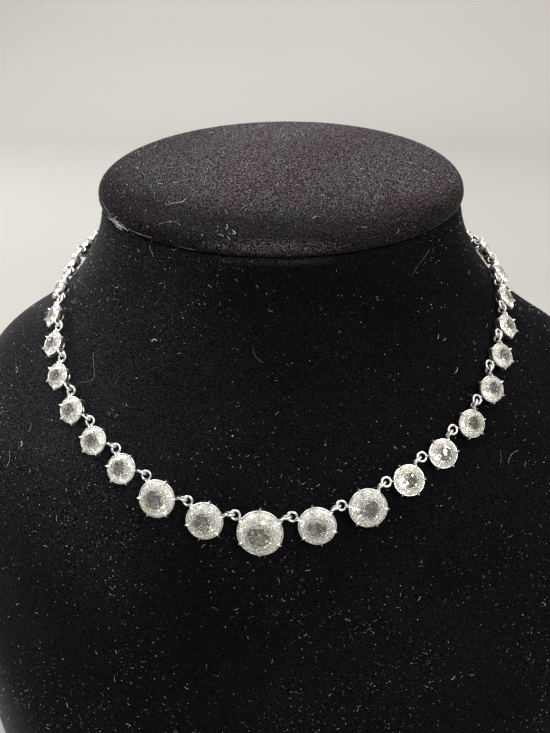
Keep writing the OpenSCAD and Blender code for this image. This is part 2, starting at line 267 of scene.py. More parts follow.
class PieceTree(Nodes):
    """Geometry Nodes tree of one kind of piece, with named inputs."""

    KINDS = {float: "NodeSocketFloat", int: "NodeSocketInt", Material: "NodeSocketMaterial"}

    def __init__(self, name: str, inputs: dict[str, float | int | Material]) -> None:
        """Makes the tree.

        Args:
            name: The tree's name.
            inputs: Each input's name and value. The value's type is the input's.
        """
        super().__init__(bpy.data.node_groups.new(name, "GeometryNodeTree"))
        for way in ("INPUT", "OUTPUT"):
            self.tree.interface.new_socket("Geometry", in_out=way, socket_type="NodeSocketGeometry")
        self.values = inputs
        for key, value in inputs.items():
            self.tree.interface.new_socket(key, in_out="INPUT", socket_type=self.KINDS[type(value)])
        self.entry = self.tree.nodes.new("NodeGroupInput")

    def __getitem__(self, name: str) -> Socket:
        """Returns one input of the tree."""
        return self.entry.outputs[name]

    def index(self) -> Socket:
        """Returns each element's number."""
        return self.add("GeometryNodeInputIndex")

    def line(self, points: Sequence[Socket], closed: bool = False) -> Socket:
        """Draws a line through a few points.

        Args:
            points: The points.
            closed: Whether the line goes back to its start.

        Returns:
            The line, as a curve.
        """
        switch = self.tree.nodes.new("GeometryNodeIndexSwitch")
        switch.data_type = "VECTOR"
        while len(switch.index_switch_items) < len(points):
            switch.index_switch_items.new()
        self.join(self.index(), switch.inputs[0])
        for point, socket in zip(points, switch.inputs[1:]):
            self.join(point, socket)
        row = self.add("GeometryNodeMeshLine", {"Count": len(points)})
        placed = self.add("GeometryNodeSetPosition", {"Geometry": row, "Position": switch.outputs[0]})
        curve = self.add("GeometryNodeMeshToCurve", {0: placed})
        return self.add("GeometryNodeSetSplineCyclic", {0: curve, "Cyclic": closed})

    def chance(self, low: float, high: float, seed: int) -> Socket:
        """Draws a number between two values for each element, with a fixed seed."""
        return self.add("FunctionNodeRandomValue", {2: low, 3: high, "Seed": seed}, 1)

    def sweep(self, path: Socket, profile: Socket, caps: bool = False, scale: Number = 1.0) -> Socket:
        """Runs a profile along a path.

        Args:
            path: The path.
            profile: The profile.
            caps: Whether the ends are closed.
            scale: Size of the profile along the path.

        Returns:
            The mesh.
        """
        return self.add("GeometryNodeCurveToMesh",
                        {"Curve": path, "Profile Curve": profile, "Fill Caps": caps, "Scale": scale})

    def circle(self, radius: Number, points: int) -> Socket:
        """Returns a circle as a curve."""
        return self.add("GeometryNodeCurvePrimitiveCircle",
                        {"Resolution": points, "Radius": radius}, mode="RADIUS")

    def turned(self, outline: Sequence[tuple[Number, Number]], hub: float, points: int) -> Socket:
        """Turns an outline about the Z axis, as on a lathe.

        Args:
            outline: Radius and height of each point, down the outside and up the inside.
            hub: Radius of the circle that carries the outline.
            points: Points round the circle.

        Returns:
            The mesh.
        """
        corners = [self.vector(self.less(r, hub), self.times(z, -1.0)) for r, z in outline]
        return self.sweep(self.circle(hub, points), self.line(corners, closed=True))

    def move(self, mesh: Socket, to: Value = (0, 0, 0), turn: Value = (0, 0, 0),
             scale: Value = (1, 1, 1)) -> Socket:
        """Moves, turns and scales a mesh."""
        return self.add("GeometryNodeTransform",
                        {"Geometry": mesh, "Translation": to, "Rotation": turn, "Scale": scale})

    def mark(self, mesh: Socket, name: str, value: Number) -> Socket:
        """Stores a number on each point of a mesh."""
        return self.add("GeometryNodeStoreNamedAttribute",
                        {"Geometry": mesh, "Name": name, "Value": value}, data_type="FLOAT")

    def together(self, parts: Iterable[Socket]) -> Socket:
        """Joins parts into one geometry."""
        node = self.tree.nodes.new("GeometryNodeJoinGeometry")
        for part in parts:
            self.tree.links.new(part, node.inputs[0])
        return node.outputs[0]

    def close(self, geometry: Socket, material: Socket) -> None:
        """Ends the tree in Realize Instances and Set Material."""
        real = self.add("GeometryNodeRealizeInstances", {"Geometry": geometry})
        done = self.add("GeometryNodeSetMaterial", {"Geometry": real, "Material": material})
        self.join(done, self.tree.nodes.new("NodeGroupOutput").inputs[0])

    def grow(self, base: Mesh | None = None) -> Mesh:
        """Runs the tree once.

        Args:
            base: Mesh that goes into the tree, or None for an empty one.

        Returns:
            What comes out, as a plain mesh.
        """
        carrier = placed("carrier", base or bpy.data.meshes.new("empty"))
        modifier = carrier.modifiers.new("grow", "NODES")
        modifier.node_group = self.tree
        for item in self.tree.interface.items_tree:
            if item.in_out == "INPUT" and item.name in self.values:
                modifier[item.identifier] = self.values[item.name]
        graph = bpy.context.evaluated_depsgraph_get()
        mesh = bpy.data.meshes.new_from_object(carrier.evaluated_get(graph), depsgraph=graph)
        bpy.data.objects.remove(carrier)
        bpy.data.node_groups.remove(self.tree)
        return mesh


@dataclass(frozen=True)
class PaintedLightPatch:
    """A soft-edged patch, in millimetres, that sets how pale the velvet's colour is there. Most of them
    paint light into the colour, some as thin painted highlights.
    """

    middle: Colour
    squeeze: Colour
    full: float
    none: float
    paleness: float

    def over(self, s: Surface, paleness: Number) -> Socket:
        """Lays the patch over what is there.

        Args:
            s: The velvet's shader tree.
            paleness: How pale the velvet was, from 0 to 1.

        Returns:
            How pale it is now.
        """
        middle = tuple(c * MM for c in self.middle)
        away = s.vectors("MULTIPLY", s.vectors("SUBTRACT", s.place(), middle), self.squeeze)
        share = s.spread(s.measure("LENGTH", away), self.full * MM, self.none * MM, 1.0, 0.0)
        return s.math("MULTIPLY_ADD", share, self.paleness, s.times(s.less(1.0, share), paleness))


@dataclass(frozen=True)
class VelvetFinish:
    """Black velvet. Its pile is paler where light grazes it, and patches paint more light into its colour.
    """

    name: str
    pile: Colour = (0.0016, 0.0015, 0.0023)
    # Pale ends of the colour mix: the pile's own paler tone, and painted sheen where the patches raise the
    # paleness.
    pale_pile_and_sheen: Colour = (0.056, 0.050, 0.056)
    greyer_pile_and_sheen: Colour = (0.051, 0.051, 0.055)
    sheen: float = 0.11
    sheen_spread: float = 0.25
    sheen_tint: Colour = (0.95, 0.92, 0.94)
    patch: float = 34 * MM
    patch_shade: float = 0.6
    tuft: float = 0.34 * MM
    tuft_low: float = 0.41
    nap_depth: float = 0.12 * MM
    paleness: float = 1.0
    painted_light_patches: Sequence[PaintedLightPatch] = ()

    def material(self) -> Material:
        """Makes the material."""
        s = Surface(self.name, Roughness=1.0, Specular_IOR_Level=0.0, Sheen_Weight=self.sheen,
                    Sheen_Roughness=self.sheen_spread, Sheen_Tint=(*self.sheen_tint, 1.0))
        pale = self.paleness
        # Patches of painted light change how pale the velvet's colour is.
        for light_patch in self.painted_light_patches:
            pale = light_patch.over(s, pale)
        pale = s.times(s.spread(s.noise(self.patch, 3), 0.35, 0.68, self.patch_shade, 1.0), pale)
        tufts = s.spread(s.noise(self.tuft, 2), self.tuft_low, 0.70)
        lit = s.mix(s.spread(s.noise(0.5 * self.patch, 2), 0.42, 0.58), self.pale_pile_and_sheen, self.greyer_pile_and_sheen)
        s.set("Base Color", s.mix(s.times(pale, tufts), self.pile, lit))
        s.set("Normal", s.bump(tufts, 0.5, self.nap_depth))
        return s.material


@dataclass(frozen=True)
class SilverFinish:
    """Old silver, bright where it is rubbed and grey in its hollows."""

    name: str = "old silver"
    bright: Colour = (0.93, 0.92, 0.88)
    grey: Colour = (0.20, 0.19, 0.18)
    cloud: float = 0.7 * MM
    scratch: float = 0.09 * MM
    scratch_depth: float = 0.02 * MM
    roughness: tuple[float, float] = (0.24, 0.44)

    def material(self) -> Material:
        """Makes the material."""
        s = Surface(self.name, Metallic=1.0)
        clouds = s.noise(self.cloud, 3)
        wear = s.more(s.attribute("wear"), s.spread(clouds, 0.35, 0.7, -0.22, 0.12))
        s.set("Base Color", s.mix(s.spread(wear, 0.0, 1.0), self.grey, self.bright))
        s.set("Roughness", s.spread(clouds, 0.3, 0.7, *self.roughness))
        scratches = s.noise(self.scratch, 2, (1, 1, 0.2))
        s.set("Normal", s.bump(scratches, 0.15, self.scratch_depth))
        return s.material


@dataclass(frozen=True)
class CrystalFinish:
    """Clear old glass, faintly tinted and uneven, rubbed dull on its edges and towards its girdle."""

    name: str = "old cut glass"
    clear: Colour = (0.99, 0.985, 0.95)
    lemon: Colour = (0.95, 0.97, 0.70)
    rose: Colour = (0.99, 0.87, 0.84)
    ior: float = 1.62
    chip: float = 0.9 * MM
    tint_patch: float = 2.4 * MM
    unevenness: float = 0.2
    haze: float = 0.8 * MM
    girdle_haze: float = 0.60
    edge_haze: float = 0.60
    dulled: float = 0.08

    def material(self) -> Material:
        """Makes the material."""
        s = Surface(self.name, IOR=self.ior)
        patches = s.noise(self.tint_patch, 1)
        warm = s.mix(s.spread(patches, 0.52, 0.66), self.clear, self.lemon)
        s.set("Base Color", s.mix(s.spread(patches, 0.44, 0.34), warm, self.rose))
        scuffs = s.spread(s.noise(self.haze, 3), 0.36, 0.66, 0.35, 1.0)
        outer = s.spread(s.attribute("outer"), 0.52, 0.93, 0.0, self.girdle_haze)
        haze = s.math("MAXIMUM", s.times(outer, scuffs), s.times(s.attribute("rubbed"), self.edge_haze))
        s.set("Transmission Weight", s.less(1.0, haze))
        s.set("Roughness", s.spread(haze, 0.0, self.girdle_haze, 0.0, self.dulled))
        cells = s.add("ShaderNodeTexVoronoi", {"Vector": s.place(), "Scale": 1 / self.chip}, "Color")
        tilt = s.vectors("SUBTRACT", cells, (0.5, 0.5, 0.5))
        height = s.measure("DOT_PRODUCT", s.place(), tilt)
        s.set("Normal", s.bump(s.math("DIVIDE", height, self.chip), 1.0, self.unevenness * self.chip))
        return s.material


@dataclass(frozen=True)
class FibreFinish:
    """Off-white lint."""

    name: str = "lint"
    pale: Colour = (0.70, 0.70, 0.69)
    dull: Colour = (0.07, 0.07, 0.072)

    def material(self) -> Material:
        """Makes the material."""
        s = Surface(self.name, Roughness=0.9, Specular_IOR_Level=0.2)
        s.set("Base Color", s.mix(s.attribute("paleness"), self.dull, self.pale))
        return s.material


@dataclass(frozen=True)
class PlainFinish:
    """Matt paper of the studio, faintly cloudy, with painted shade that makes it darker towards the front
    and the left.
    """

    name: str
    colour: Colour
    cloud: float = 0.4
    front_shade: float = 0.69
    front_to_back: tuple[float, float] = (0.45, 1.35)
    left_shade: float = 0.82
    left_to_right: tuple[float, float] = (-0.65, 0.35)

    def material(self) -> Material:
        """Makes the material."""
        s = Surface(self.name, Roughness=0.95, Specular_IOR_Level=0.1)
        x, y = (s.add("ShaderNodeSeparateXYZ", {0: s.place()}, axis) for axis in "XY")
        # Painted shade: the paper darker towards the front and the left.
        tone = s.times(s.spread(y, *self.front_to_back, self.front_shade, 1.0),
                       s.spread(x, *self.left_to_right, self.left_shade, 1.0))
        clouds = s.spread(s.noise(self.cloud), 0.3, 0.7, 1.0, 0.96)
        s.set("Base Color", s.mix(s.times(tone, clouds), (0.0, 0.0, 0.0), self.colour))
        return s.material


def as_piece(name: str, mesh: Mesh, nodes: Sequence[str] = ()) -> bpy.types.Object:
    """Makes a finished mesh a piece of the object.

    Args:
        name: The piece's name.
        mesh: Its mesh, in place.
        nodes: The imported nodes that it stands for.

    Returns:
        The piece.
    """
    mesh.name = name
    piece = placed(name, mesh)
    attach(piece, BODY)
    if nodes:
        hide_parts(*nodes)
    log.info("%s: %d faces, stands for %s", name, len(mesh.polygons), ", ".join(nodes) or "nothing")
    return piece


def shade(mesh: Mesh, corner: float = 38.0) -> Mesh:
    """Shades a mesh smooth and keeps its corners sharp.

    Args:
        mesh: The mesh.
        corner: Turn that makes an edge a corner, in degrees.

    Returns:
        The same mesh.
    """
    mesh.shade_smooth()
    mesh.set_sharp_from_angle(angle=math.radians(corner))
    return mesh


def made(work: bmesh.types.BMesh, name: str, finish: Material | None = None) -> Mesh:
    """Turns a work mesh into a plain one.

    Args:
        work: The work mesh.
        name: The new mesh's name.
        finish: Its finish, or None.

    Returns:
        The mesh.
    """
    mesh = bpy.data.meshes.new(name)
    work.to_mesh(mesh)
    if finish:
        mesh.materials.append(finish)
    return mesh


def merged(node: str) -> bmesh.types.BMesh:
    """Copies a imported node's mesh and merges its loose triangles.

    Args:
        node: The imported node.

    Returns:
        The copy.
    """
    work = bmesh.new()
    work.from_mesh(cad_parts[node].data)
    bmesh.ops.remove_doubles(work, verts=work.verts, dist=MERGE_REACH)
    return work


def islands(work: bmesh.types.BMesh) -> list[np.ndarray]:
    """Splits a merged mesh into its loose solids.

    Args:
        work: The merged mesh.

    Returns:
        The points of each solid.
    """
    left = set(work.verts)
    found = []
    while left:
        reached, edge = set(), {left.pop()}
        while edge:
            reached |= edge
            edge = {e.other_vert(v) for v in edge for e in v.link_edges} - reached
        left -= reached
        found.append(np.array([v.co for v in reached]))
    return found


@dataclass(frozen=True)
class Stone:
    """A cut stone as it lies: its axis, the middle of its table and its girdle's radius."""

    axis: np.ndarray
    table: np.ndarray
    radius: float

    @classmethod
    def measured(cls, points: np.ndarray) -> "Stone":
        """Measures a stone from its points.

        Args:
            points: The points of one stone.

        Returns:
            The stone. Its table is the flat end that is wider than the culet.
        """
        middle = points.mean(0)
        axis = np.linalg.svd(points - middle)[2][2]
        along = (points - middle) @ axis
        ends = [points[along > along.max() - FLAT_DEPTH], points[along < along.min() + FLAT_DEPTH]]
        widths = [np.linalg.norm(end - end.mean(0), axis=1).mean() for end in ends]
        table = ends[int(widths[1] > widths[0])].mean(0)
        axis = axis if widths[0] >= widths[1] else -axis
        out = points - table - np.outer((points - table) @ axis, axis)
        return cls(axis, table, float(np.linalg.norm(out, axis=1).max()))

    def outer(self, point: np.ndarray) -> float:
        """Measures how far out a point lies.

        Args:
            point: The point.

        Returns:
            0 on the stone's axis, 1 on its girdle, and infinity far away from the stone.
        """
        away = point - self.table
        height = away @ self.axis
        side = float(np.linalg.norm(away - height * self.axis)) / self.radius
        return side if abs(height) < 2 * self.radius else math.inf


@dataclass(frozen=True)
class Seat:
    """Where a setting lies: its foot's middle and its three directions."""

    foot: np.ndarray
    along: np.ndarray
    inward: np.ndarray
    outward: np.ndarray

    def matrix(self) -> Matrix:
        """Returns the placing of a setting that was made upright at the origin."""
        m = np.eye(4)
        m[:3] = np.column_stack([self.along, self.inward, self.outward, self.foot])
        return Matrix(m.tolist())


@dataclass
class Setting:
    """One silver setting: a tapered open collet, six claws, and a ring at each end.

    It is made upright, with its foot at the origin, the chain along X and the neck towards Y.
    """

    rim_d: float
    seat: Seat
    foot_share: float = 0.64
    wall: float = 0.3 * MM
    stone_gap: float = 0.05 * MM
    culet_clear: float = 0.5 * MM
    pavilion_share: float = 0.3
    girdle: float = 0.3 * MM
    band: float = 0.9 * MM
    bevel: float = 0.12 * MM
    claws: int = 6
    claw_w: float = 1.3 * MM
    claw_out: float = 0.35 * MM
    claw_in: float = 0.5 * MM
    claw_tip: float = 0.34 * MM
    claw_foot: float = 0.3 * MM
    claw_softness: float = 0.1 * MM
    wire: float = 0.7 * MM
    hole: float = 1.74 * MM
    ring_reach: float = 1.75 * MM
    ring_z: float = 2.0 * MM
    ring_angle: float = 30.0
    ring_turn: float = 12.0
    ring_tip: float = 0.35 * MM
    group_angle: float = 40.0
    collet_points: int = 72
    ring_points: int = 32
    wire_points: int = 12
    claw_wear: float = 0.95
    ring_wear: float = 0.8
    solder_wear: float = 0.6

    @classmethod
    def measured(cls, stone: Stone, points: np.ndarray) -> "Setting":
        """Finds a setting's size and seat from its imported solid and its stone.

        Args:
            stone: The stone that it holds.
            points: The points of the setting's solid.

        Returns:
            The setting.
        """
        rim_d = 2 * (stone.radius + cls.wall + cls.stone_gap)
        height = (points - stone.table) @ stone.axis
        flat = points - stone.table - np.outer(height, stone.axis)
        foot = stone.table + height.min() * stone.axis
        level = height - height.min()
        spread = np.linalg.norm(flat, axis=1)
        level_ring = abs(level - cls.ring_z) < 0.51 * cls.wire
        tip = rim_d / 2 + cls.ring_reach + (cls.hole + cls.wire) / 2 + cls.wire / 2
        ends = flat[level_ring & (spread > tip - cls.ring_tip)]
        turn = Matrix.Rotation(math.radians(cls.ring_angle - 180), 3, Vector(stone.axis))
        along = np.array(turn @ Vector(cls.lone_way(ends)))
        return cls(rim_d, Seat(foot, along, np.cross(stone.axis, along), stone.axis))

    @classmethod
    def lone_way(cls, ends: np.ndarray) -> np.ndarray:
        """Finds the direction of the flat ring's far end, which has the largest group of points.

        Args:
            ends: Points at the far ends of both rings, seen from the setting's axis.

        Returns:
            The direction.
        """
        ways = ends / np.linalg.norm(ends, axis=1)[:, None]
        near = ways @ ways.T > math.cos(math.radians(cls.group_angle))
        group = ways[near[near.sum(1).argmax()]].mean(0)
        return group / np.linalg.norm(group)

    def rim_z(self) -> float:
        """Returns the height of the rim over the foot."""
        stone_r = self.rim_d / 2 - self.wall - self.stone_gap
        return self.culet_clear + 2 * stone_r * self.pavilion_share + self.girdle + self.stone_gap

    def collet(self, t: PieceTree) -> Socket:
        """Turns the collet: a beaded foot, a tapered wall and an upright band with a bevelled rim.

        Args:
            t: The tree.

        Returns:
            The mesh.
        """
        rim, foot, top = t["Rim radius"], t["Foot radius"], t["Rim height"]
        inner, hollow = t.less(rim, self.wall), t.less(foot, self.wall)
        bead, band = t.more(foot, self.bevel), t.less(top, self.band)
        outline = [
            (t.less(rim, self.bevel), top), (rim, t.less(top, self.bevel)), (rim, band),
            (t.more(foot, 0.2 * self.bevel), 2.6 * self.bevel), (bead, 1.9 * self.bevel),
            (bead, 0.8 * self.bevel), (foot, 0.0), (hollow, 0.0), (hollow, self.bevel),
            (inner, band), (inner, t.less(top, 0.5 * self.bevel)),
            (t.less(rim, self.wall - 0.4 * self.bevel), top)]
        mesh = t.turned(outline, self.rim_d / 2, self.collet_points)
        height = t.add("ShaderNodeSeparateXYZ", {0: t.add("GeometryNodeInputPosition")}, 2)
        rim_wear = t.spread(t.less(top, height), 0.0, self.band, 1.0, 0.25)
        foot_wear = t.spread(height, 0.0, 3 * self.bevel, 0.9, 0.25)
        out = t.measure("DOT_PRODUCT", t.add("GeometryNodeInputPosition"), t.add("GeometryNodeInputNormal"))
        inner_wear = t.spread(out, 0.0, -self.band, 0.0, 0.95)
        return t.mark(mesh, "wear", t.math("MAXIMUM", t.math("MAXIMUM", rim_wear, foot_wear), inner_wear))

    def claw_ring(self, t: PieceTree) -> Socket:
        """Sets the claws round the collet, each bent over the stone and thinned to its tip.

        Args:
            t: The tree.

        Returns:
            The claws, as instances.
        """
        rim, foot, top = t["Rim radius"], t["Foot radius"], t["Rim height"]
        bent = t.add("GeometryNodeCurvePrimitiveBezierSegment", {
            "Resolution": 24,
            "Start": t.vector(t.more(foot, 0.4 * self.claw_out), z=self.claw_foot),
            "Start Handle": t.vector(t.more(rim, self.claw_out), z=t.times(top, 0.7)),
            "End Handle": t.vector(t.more(rim, 1.5 * self.claw_out), z=t.more(top, 0.7 * self.claw_tip)),
            "End": t.vector(t.less(rim, self.wall + self.claw_in), z=t.more(top, self.claw_tip))})
        path = t.add("GeometryNodeResampleCurve", {"Curve": bent, "Count": 16})
        thin = t.spread(t.add("GeometryNodeSplineParameter"), 0.8, 1.0, 1.0, 0.5)
        ridge = t.add("GeometryNodeFilletCurve", {
            "Curve": t.move(t.circle(self.claw_w / math.sqrt(3), 3), turn=(0, 0, math.pi / 2)),
            "Radius": self.claw_softness, "Count": 3}, mode="POLY")
        claw = t.mark(t.sweep(path, ridge, True, thin), "wear", self.claw_wear)
        row = t.add("GeometryNodeMeshLine", {"Count": t["Claws"], "Offset": (0.0, 0.0, 0.0)})
        step = t.math("DIVIDE", math.tau, t["Claws"])
        angle = t.more(t.times(t.index(), step), math.pi / 2)
        return t.add("GeometryNodeInstanceOnPoints",
                     {"Points": row, "Instance": claw, "Rotation": t.vector(z=angle)})

    def ring(self, t: PieceTree, angle: float, on_edge: bool) -> Socket:
        """Makes one ring with the solder that flares out to its claw.

        Args:
            t: The tree.
            angle: The ring's place round the setting, in degrees.
            on_edge: Whether the ring stands on edge.

        Returns:
            The mesh.
        """
        ring_r = (self.hole + self.wire) / 2
        wire = t.circle(self.wire / 2, self.wire_points)
        reach = t.more(t["Rim radius"], self.ring_reach)
        loop = t.sweep(t.circle(ring_r, self.ring_points), wire)
        if on_edge:
            loop = t.move(t.move(loop, turn=(math.pi / 2, 0, 0)),
                          turn=(0, 0, math.radians(self.ring_turn - self.ring_angle)))
        loop = t.mark(t.move(loop, t.vector(reach)), "wear", self.ring_wear)
        root, near = t.less(t["Rim radius"], 1.4 * self.wall), t.less(reach, ring_r)
        path = t.add("GeometryNodeCurvePrimitiveLine", {"Start": t.vector(root), "End": t.vector(near)})
        path = t.add("GeometryNodeResampleCurve", {"Curve": path, "Count": 7})
        flare = t.spread(t.add("GeometryNodeSplineParameter"), 0.0, 1.0, 1.5, 0.85)
        solder = t.mark(t.sweep(path, wire, True, flare), "wear", self.solder_wear)
        return t.move(t.together([loop, solder]), (0, 0, self.ring_z), (0, 0, math.radians(angle)))

    def mesh(self, finish: Material) -> Mesh:
        """Makes the whole setting, in its seat.

        Args:
            finish: The silver.

        Returns:
            The mesh.
        """
        t = PieceTree("setting", {
            "Rim radius": self.rim_d / 2, "Foot radius": self.rim_d / 2 * self.foot_share,
            "Rim height": self.rim_z(), "Claws": self.claws, "Finish": finish})
        t.close(t.together([self.collet(t), self.claw_ring(t), self.ring(t, 180 - self.ring_angle, False),
                            self.ring(t, self.ring_angle, True)]), t["Finish"])
        mesh = t.grow()
        mesh.transform(self.seat.matrix())
        return shade(mesh)


@dataclass
class Necklace:
    """The row of stones in their settings, closed by its clasp."""

    silver: SilverFinish
    crystal: CrystalFinish
    own_pairs: int = 9
    rub: float = 0.035 * MM
    flat_angle: float = 0.5
    clasp_bevel: float = 0.25 * MM
    clasp_corner: float = 50.0
    clasp_wear: float = 0.7

    def names(self) -> list[str]:
        """Returns what the names of settings with a node of their own end in."""
        return ["centre"] + [f"{side.value}_{k}" for side in Side for k in range(1, self.own_pairs + 1)]

    def build(self) -> None:
        """Builds every setting and stone, and finishes the clasp."""
        silver, crystal = self.silver.material(), self.crystal.material()
        for name in self.names():
            (solid,), (cut,) = islands(merged(f"setting_{name}")), islands(merged(f"stone_{name}"))
            setting = Setting.measured(Stone.measured(cut), solid)
            as_piece(f"silver_{name}", setting.mesh(silver), [f"setting_{name}"])
            self.glass(f"stone_{name}", f"glass_{name}", crystal)
        self.back(silver)
        self.glass("back_stones", "glass_back", crystal)
        self.clasp(silver)

    def glass(self, node: str, name: str, finish: Material) -> None:
        """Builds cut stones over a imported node, with the edges between their facets rubbed off.

        Args:
            node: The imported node.
            name: The piece's name.
            finish: The glass.
        """
        work = merged(node)
        stones = [Stone.measured(points) for points in islands(work)]
        bmesh.ops.dissolve_limit(work, angle_limit=math.radians(self.flat_angle), verts=work.verts,
                                 edges=work.edges)
        rubbed = work.faces.layers.float.new("rubbed")
        for face in bmesh.ops.bevel(work, geom=work.edges[:], offset=self.rub, segments=1, profile=0.5,
                                    affect="EDGES", clamp_overlap=True)["faces"]:
            face[rubbed] = 1.0
        outer = work.verts.layers.float.new("outer")
        for vert in work.verts:
            vert[outer] = min(stone.outer(np.array(vert.co)) for stone in stones)
        as_piece(name, made(work, name, finish), [node])

    def back(self, finish: Material) -> None:
        """Builds the small settings at the back of the neck as one piece.

        Args:
            finish: The silver.
        """
        stones = [Stone.measured(points) for points in islands(merged("back_stones"))]
        work = bmesh.new()
        for solid in islands(merged("back_settings")):
            stone = min(stones, key=lambda s: np.linalg.norm(s.table - solid.mean(0)))
            work.from_mesh(Setting.measured(stone, solid).mesh(finish))
        as_piece("silver_back", made(work, "silver_back", finish), ["back_settings"])

    def clasp(self, finish: Material) -> None:
        """Softens the clasp's edges.

        Args:
            finish: The silver.
        """
        work = merged("clasp")
        corners = [e for e in work.edges if e.calc_face_angle(0) > math.radians(self.clasp_corner)]
        bmesh.ops.bevel(work, geom=corners, offset=self.clasp_bevel, segments=2, profile=0.5,
                        affect="EDGES", clamp_overlap=True)
        mesh = made(work, "silver_clasp", finish)
        wear = mesh.attributes.new("wear", "FLOAT", "POINT")
        wear.data.foreach_set("value", np.full(len(mesh.vertices), self.clasp_wear, np.float32))
        as_piece("silver_clasp", shade(mesh), ["clasp"])


@dataclass
class VelvetForm:
    """One velvet-covered solid, with its pile slightly uneven."""

    node: str
    name: str
    finish: VelvetFinish
    levels: int = 2
    wave: float = 26 * MM
    wave_depth: float = 0.35 * MM
    fill: float | None = None
    join_angle: float = 40.0
    join_skew: float = 60.0

    def cage(self) -> Mesh:
        """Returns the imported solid's surface with its triangles joined back into four-sided faces."""
        work = merged(self.node)
        bmesh.ops.join_triangles(work, faces=work.faces,
                                 angle_face_threshold=math.radians(self.join_angle),
                                 angle_shape_threshold=math.radians(self.join_skew))
        return made(work, "cage")

    def build(self) -> bpy.types.Object:
        """Builds the form.

        Returns:
            The piece.
        """
        t = PieceTree("velvet form", {"Wave": self.wave, "Wave depth": self.wave_depth,
                                      "Finish": self.finish.material()})
        smooth = t.add("GeometryNodeSubdivisionSurface", {"Mesh": t["Geometry"], "Level": self.levels})
        noise = t.add("ShaderNodeTexNoise", {"Scale": t.math("DIVIDE", 1.0, t["Wave"]), "Detail": 2.0})
        lift = t.times(t.less(noise, 0.5), t["Wave depth"])
        offset = t.add("ShaderNodeVectorMath", {0: t.add("GeometryNodeInputNormal"), "Scale": lift},
                       operation="SCALE")
        t.close(t.add("GeometryNodeSetPosition", {"Geometry": smooth, "Offset": offset}), t["Finish"])
        mesh = t.grow(self.cage())
        mesh.shade_smooth()
        piece = as_piece(self.name, mesh, [self.node])
        return piece


@dataclass(frozen=True)
class Lint:
    """Lint of one kind: short curved bits scattered in clumps, with few of them round a bare spot."""

    name: str
    per_cm2: float
    length: float
    thickness: float
    curl: float
    joints: int
    seed: int
    patch: float = 30 * MM
    lift: float = 0.15 * MM
    lean: float = 0.45
    bare: Colour = (25 * MM, -38 * MM, 158 * MM)
    bare_reach: float = 58 * MM
    bare_share: float = 0.3
    sparse: float = 0.25
    crowded: float = 2.2
    dimness: float = 2.2
    least: float = 0.3

    def build(self, ground: Mesh, finish: Material) -> bpy.types.Object:
        """Scatters the lint.

        Args:
            ground: The velvet that it lies on.
            finish: The lint's finish.

        Returns:
            The piece.
        """
        t = PieceTree(self.name, {
            "Bits per square metre": self.per_cm2 * 1e4, "Length": self.length,
            "Thickness": self.thickness, "Curl": self.curl, "Seed": self.seed, "Finish": finish,
            "Bare reach": self.bare_reach})
        clumps = t.add("ShaderNodeTexNoise", {"Scale": 1 / self.patch, "Detail": 2.0})
        away = t.measure("DISTANCE", t.add("GeometryNodeInputPosition"), self.bare)
        kept = t.spread(t.math("DIVIDE", away, t["Bare reach"]), 0.4, 1.0, self.bare_share, 1.0)
        clumpy = t.spread(clumps, 0.38, 0.66, self.sparse, self.crowded)
        density = t.times(t.times(t["Bits per square metre"], clumpy), kept)
        scatter = t.tree.nodes.new("GeometryNodeDistributePointsOnFaces")
        for name, value in {"Mesh": t["Geometry"], "Density": density, "Seed": t["Seed"]}.items():
            t.join(value, scatter.inputs[name])
        half = t.times(t["Length"], 0.5)
        path = t.add("GeometryNodeCurveQuadraticBezier", {
            "Resolution": self.joints, "Start": t.vector(t.times(half, -1.0)),
            "Middle": t.vector(y=t.times(t["Curl"], t["Length"])), "End": t.vector(half)})
        bit = t.sweep(path, t.circle(t.times(t["Thickness"], 0.5), 3), True)
        spin = t.vector(t.chance(-self.lean, self.lean, 2), t.chance(-self.lean, self.lean, 3),
                        t.chance(0.0, math.tau, 4))
        turn = t.add("FunctionNodeRotateRotation", {0: scatter.outputs["Rotation"], 1: spin},
                     rotation_space="LOCAL")
        size = t.chance(self.least, 1.0, 5)
        bits = t.add("GeometryNodeInstanceOnPoints", {
            "Points": scatter.outputs["Points"], "Instance": bit, "Rotation": turn,
            "Scale": t.vector(size, size, t.chance(0.6, 1.0, 6))})
        raised = t.add("GeometryNodeTranslateInstances",
                       {0: bits, "Translation": t.vector(z=self.lift), "Local Space": True})
        pale = t.math("POWER", t.chance(0.0, 1.0, 7), self.dimness)
        marked = t.add("GeometryNodeStoreNamedAttribute",
                       {"Geometry": raised, "Name": "paleness", "Value": pale},
                       data_type="FLOAT", domain="INSTANCE")
        t.close(marked, t["Finish"])
        return as_piece(self.name, t.grow(ground))


@dataclass(frozen=True)
class Hair:
    """A hair at a place of its own, drawn through a few points in millimetres, or a wisp of them."""

    paleness: float
    points: Sequence[Colour]
    strands: int = 1
    spread: float = 0.0

    def lines(self, rng: np.random.Generator) -> list[np.ndarray]:
        """Returns the points of each strand.

        Args:
            rng: Where the strands' places come from.

        Returns:
            One row of points for each strand.
        """
        line = np.array(self.points)
        return [(line + rng.normal(0.0, self.spread, line.shape)) * MM for _ in range(self.strands)]


